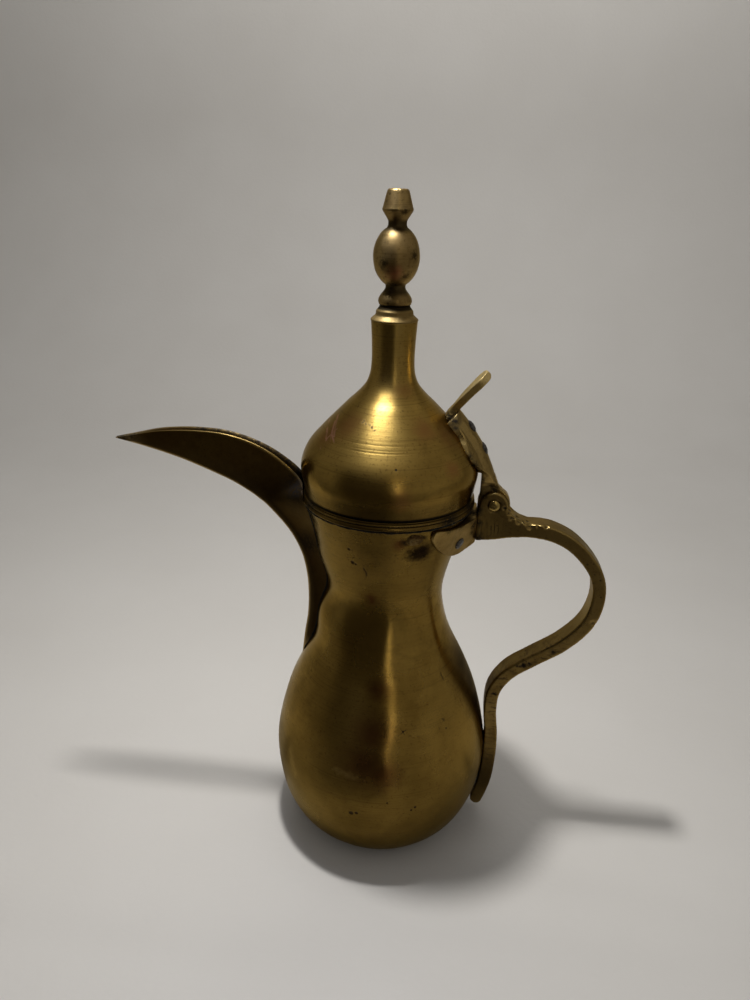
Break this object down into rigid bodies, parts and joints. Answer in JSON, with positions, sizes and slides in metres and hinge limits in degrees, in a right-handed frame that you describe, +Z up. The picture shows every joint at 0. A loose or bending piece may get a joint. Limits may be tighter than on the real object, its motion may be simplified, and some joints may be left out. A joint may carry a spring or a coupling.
{
  "type": "dallah coffee pot",
  "caption": "Tall waisted brass coffee pot with a beaked spout, looped side handle and a hinged domed lid with a turned finial.",
  "frame": {"origin": "middle of the base, on the surface the pot stands on", "axes": "+Z up through the finial; +X towards the handle, -X towards the spout; +Y across the pot"},
  "size_m": [0.2248, 0.1038, 0.3],
  "materials": {
    "body_brass": "aged hammered sheet brass, half polished, brown patina",
    "spout_brass": "dark aged sheet brass",
    "lid_brass": "aged sheet brass, half polished",
    "cast_brass": "aged cast brass with worn bright edges",
    "pin_brass": "worn brass pin",
    "rivet_iron": "dark iron",
    "solder": "dull grey solder"
  },
  "bodies": {
    "pot": {"body_shell": "body_brass", "base_plate": "body_brass", "rim_band": "body_brass", "spout": "spout_brass", "handle": "cast_brass", "handle_saddle": "cast_brass", "saddle_rivets": "rivet_iron", "foot_solder": "solder", "hinge_pin": "pin_brass"},
    "lid": {"lid_dome": "lid_brass", "lid_skirt": "lid_brass", "stem_cap": "cast_brass", "finial": "cast_brass", "hinge_strap": "cast_brass", "thumb_piece": "cast_brass", "strap_rivets": "rivet_iron"}
  },
  "joints": [
    {"name": "lid_hinge", "type": "hinge", "parent": "pot", "child": "lid", "pos_m": [0.0466, 0, 0.1734], "axis": [0, 1, 0], "range_deg": [0, 105]}
  ]
}
